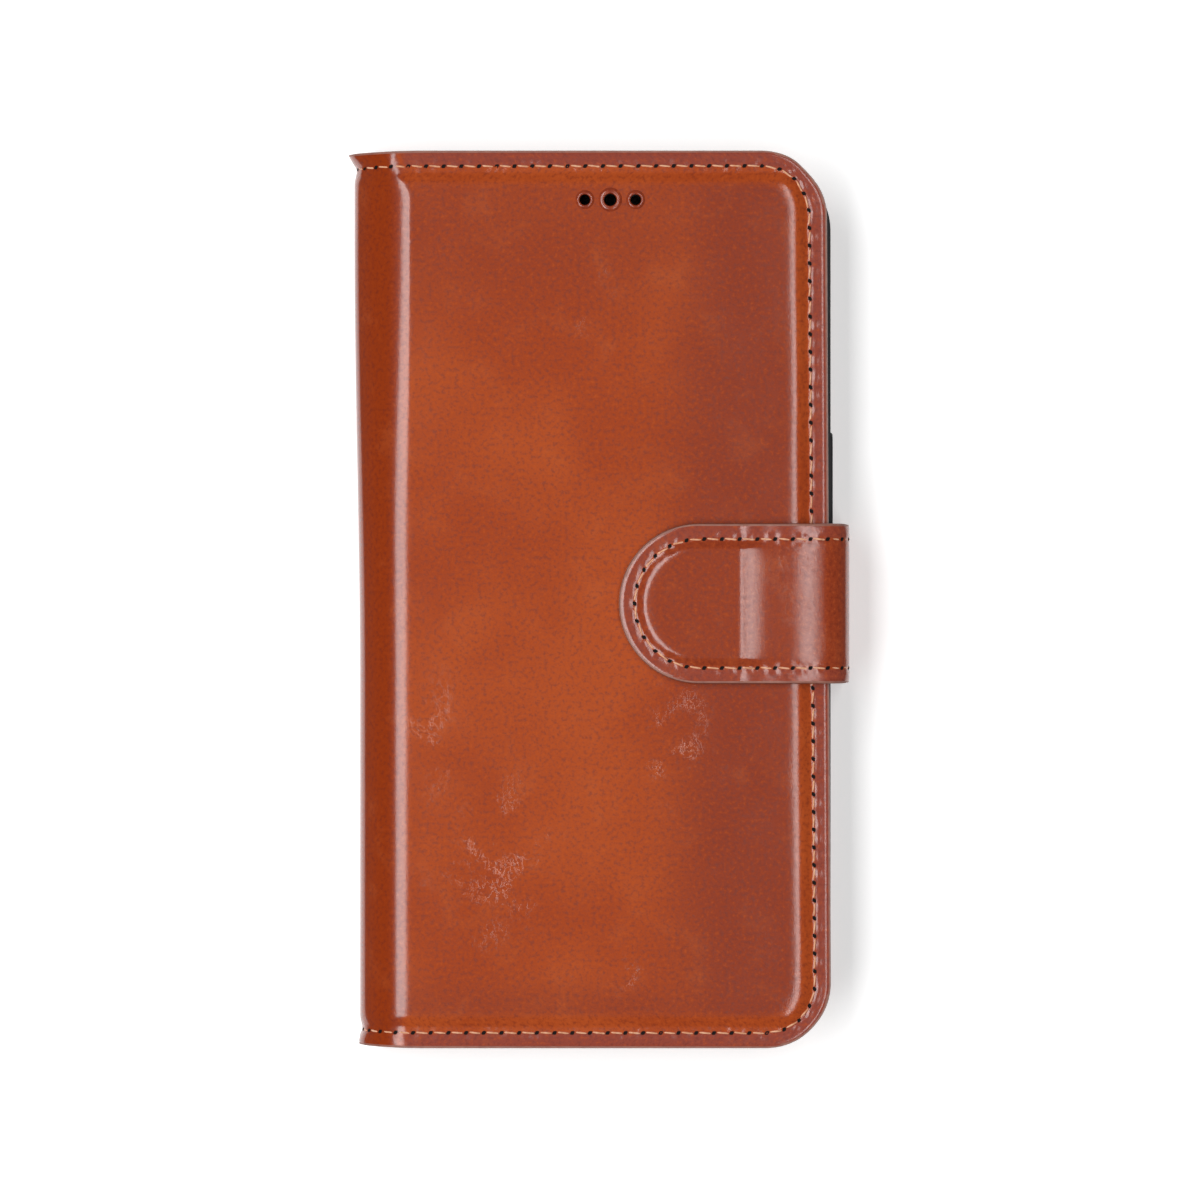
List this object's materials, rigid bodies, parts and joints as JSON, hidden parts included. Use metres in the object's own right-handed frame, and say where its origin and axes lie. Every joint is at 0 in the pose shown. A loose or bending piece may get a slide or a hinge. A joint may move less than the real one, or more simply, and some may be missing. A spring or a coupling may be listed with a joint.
{
  "type": "phone wallet case",
  "caption": "Leather folio case for a phone, with a padded front cover, earpiece holes, card pockets, a snap-in shell and a magnetic strap.",
  "frame": {"origin": "centre of the closed case's footprint, on the back cover's outer face", "axes": "+X from the spine to the strap, +Y up the cover towards the earpiece holes, +Z out of the front cover"},
  "size_m": [0.0841, 0.152, 0.0219],
  "materials": {
    "tan_leather": "glossy pull-up leather, cognac",
    "pocket_leather": "semi-gloss",
    "lining": "matte split leather",
    "reinforcement": "matte bonded leather",
    "thread": "waxed thread",
    "foam": "soft foam sheet",
    "plate": "plain steel",
    "magnet": "nickel plated",
    "adhesive": "clear tape",
    "shell": "matte black soft plastic"
  },
  "bodies": {
    "back_cover": {"back_leather": "tan_leather", "back_reinforcement": "reinforcement", "back_lining": "lining", "back_thread": "thread", "strap_anchor": "tan_leather", "strap_anchor_thread": "thread", "shell_adhesive": "adhesive", "phone_shell": "shell"},
    "spine": {"spine_leather": "tan_leather", "spine_reinforcement": "reinforcement", "spine_lining": "lining", "spine_thread": "thread"},
    "front_cover": {"front_leather": "tan_leather", "front_foam": "foam", "clasp_plate": "plate", "front_reinforcement": "reinforcement", "front_lining": "lining", "front_thread": "thread", "long_pocket": "pocket_leather", "card_pocket_1": "pocket_leather", "card_pocket_2": "pocket_leather", "card_pocket_3": "pocket_leather", "pocket_thread": "thread"},
    "strap_side": {"strap_side_leather": "tan_leather", "strap_side_lining": "lining", "strap_side_thread": "thread"},
    "strap_flap": {"strap_flap_leather": "tan_leather", "strap_flap_lining": "lining", "strap_flap_thread": "thread", "strap_filler": "reinforcement", "strap_magnet": "magnet"},
    "side_button": {"side_button": "shell"},
    "volume_up_button": {"volume_up_button": "shell"},
    "volume_down_button": {"volume_down_button": "shell"}
  },
  "joints": [
    {"name": "back_fold", "type": "hinge", "parent": "back_cover", "child": "spine", "pos_m": [-0.03985, 0, 0.00215], "axis": [0, -1, 0], "range_deg": [0, 90], "deforming": ["strap_flap_leather", "strap_flap_lining", "strap_flap_thread", "strap_filler", "strap_magnet"]},
    {"name": "front_fold", "type": "hinge", "parent": "spine", "child": "front_cover", "pos_m": [-0.03985, 0, 0.01675], "axis": [0, -1, 0], "range_deg": [0, 90]},
    {"name": "strap_side_fold", "type": "hinge", "parent": "back_cover", "child": "strap_side", "pos_m": [0.04105, 0, 0.00145], "axis": [0, 1, 0], "range_deg": [0, 90]},
    {"name": "strap_flap_fold", "type": "hinge", "parent": "strap_side", "child": "strap_flap", "pos_m": [0.04017, 0, 0.01984], "axis": [0, 1, 0], "range_deg": [0, 90]},
    {"name": "side_button_press", "type": "slide", "parent": "back_cover", "child": "side_button", "axis": [-1, 0, 0], "range_m": [0, 0.0005], "stiffness_N_per_m": 600},
    {"name": "volume_up_press", "type": "slide", "parent": "back_cover", "child": "volume_up_button", "axis": [1, 0, 0], "range_m": [0, 0.0005], "stiffness_N_per_m": 600},
    {"name": "volume_down_press", "type": "slide", "parent": "back_cover", "child": "volume_down_button", "axis": [1, 0, 0], "range_m": [0, 0.0005], "stiffness_N_per_m": 600}
  ],
  "couplings": [
    {"joint": "front_fold", "follows": "back_fold", "ratio": 1},
    {"joint": "strap_flap_fold", "follows": "strap_side_fold", "ratio": 1}
  ]
}
